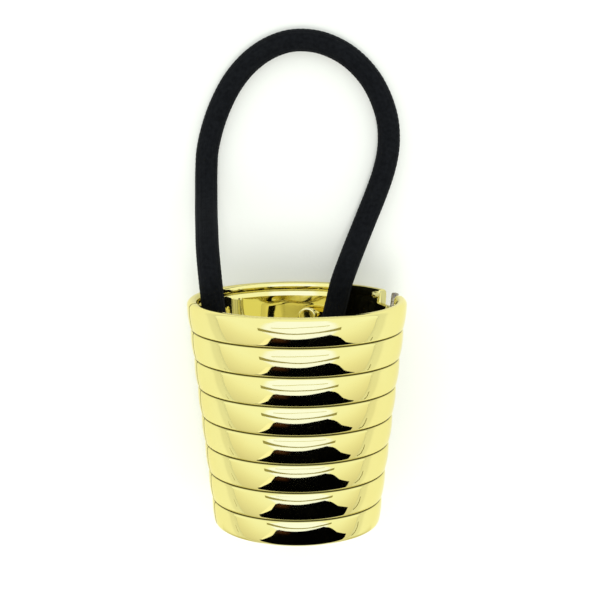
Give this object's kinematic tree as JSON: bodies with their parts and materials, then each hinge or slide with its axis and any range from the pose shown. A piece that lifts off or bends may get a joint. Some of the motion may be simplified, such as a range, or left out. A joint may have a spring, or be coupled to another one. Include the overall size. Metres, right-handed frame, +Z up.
{
  "type": "ponytail cuff",
  "caption": "Ribbed, tapered gold-tone ponytail cuff in hinged halves, lying on its side, with a loop of black round elastic held inside.",
  "frame": {"origin": "on the table under the middle of the box round the metal cuff, which lies on its side", "axes": "+Z up from the table, +Y along the table from the narrow end to the mouth, +X towards the hinge"},
  "size_m": [0.0364, 0.0862, 0.0362],
  "materials": {
    "gold_plate": "mirror polished pale gold plating on cast zinc alloy",
    "steel": "plain drawn steel wire",
    "elastic": "matt black knitted elastic"
  },
  "bodies": {
    "back": {"back_half": "gold_plate", "hinge_pin": "steel", "snap_tongue": "gold_plate", "elastic_post": "gold_plate", "elastic_sleeve": "gold_plate", "elastic_cord": "elastic"},
    "front": {"front_half": "gold_plate"}
  },
  "joints": [
    {"name": "front_hinge", "type": "hinge", "parent": "back", "child": "front", "pos_m": [0.01451, 0.00022, 0.01196], "axis": [0.1089, 0.9907, 0.0815], "range_deg": [0, 80]}
  ]
}
